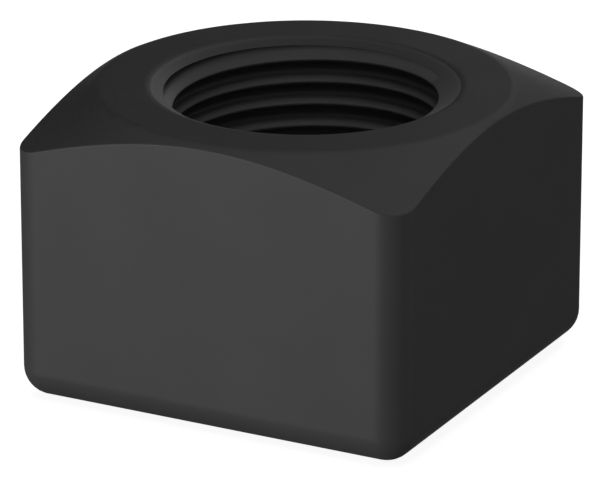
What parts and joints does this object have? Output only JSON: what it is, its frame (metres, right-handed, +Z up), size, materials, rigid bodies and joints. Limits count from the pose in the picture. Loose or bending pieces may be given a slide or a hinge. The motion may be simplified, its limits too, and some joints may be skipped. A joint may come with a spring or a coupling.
{
  "type": "track nut",
  "caption": "Square track nut with a coned crown, rounded edges and a threaded bore countersunk at both ends.",
  "frame": {"origin": "centre of the seat, the flat face that bears on the track link, on the bore's axis", "axes": "+Z up the bore to the crowned top; +X and +Y square to the wrench flats"},
  "size_m": [0.0334, 0.0334, 0.0231],
  "materials": {
    "black_steel": "heat-treated alloy steel with a plain matt black oxide finish"
  },
  "bodies": {
    "root": {"square_nut": "black_steel"}
  },
  "joints": []
}
